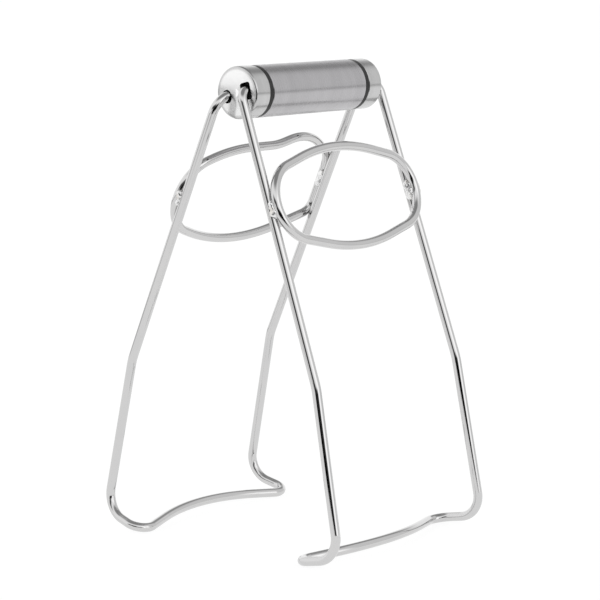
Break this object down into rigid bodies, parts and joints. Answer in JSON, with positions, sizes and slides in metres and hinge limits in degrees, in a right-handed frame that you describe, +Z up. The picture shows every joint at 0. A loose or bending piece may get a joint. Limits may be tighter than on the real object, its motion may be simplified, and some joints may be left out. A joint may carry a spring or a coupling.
{
  "type": "jar lifter",
  "caption": "Wire jar lifter with a short tubular handle, hinged leg frames, cradle feet and welded finger loops, standing open.",
  "frame": {"origin": "on the floor, under the middle of the object's bounding box in its open stance", "axes": "+X along the handle, -Y towards the front leg frame, +Z up"},
  "size_m": [0.1051, 0.132, 0.2045],
  "materials": {
    "grip_steel": "brushed round the handle",
    "cap_steel": "brushed band, polished face",
    "wire_steel": "polished stainless wire",
    "weld_steel": "rough weld metal",
    "ring_rubber": "satin black",
    "plug_plastic": "moulded nylon"
  },
  "bodies": {
    "handle": {"handle_tube": "grip_steel", "left_end_cap": "cap_steel", "left_rubber_ring": "ring_rubber", "left_hinge_plug": "plug_plastic", "right_end_cap": "cap_steel", "right_rubber_ring": "ring_rubber", "right_hinge_plug": "plug_plastic"},
    "front_frame": {"front_leg_frame": "wire_steel", "front_finger_loop": "wire_steel", "front_left_weld": "weld_steel", "front_right_weld": "weld_steel"},
    "rear_frame": {"rear_leg_frame": "wire_steel", "rear_finger_loop": "wire_steel", "rear_left_weld": "weld_steel", "rear_right_weld": "weld_steel"}
  },
  "joints": [
    {"name": "front_frame_swing", "type": "hinge", "parent": "handle", "child": "front_frame", "pos_m": [0, -0.01081, 0.19481], "axis": [1, 0, 0], "range_deg": [-40, 10.3]},
    {"name": "rear_frame_swing", "type": "hinge", "parent": "handle", "child": "rear_frame", "pos_m": [0, -0.00096, 0.19217], "axis": [-1, 0, 0], "range_deg": [-36, 14.1]}
  ]
}
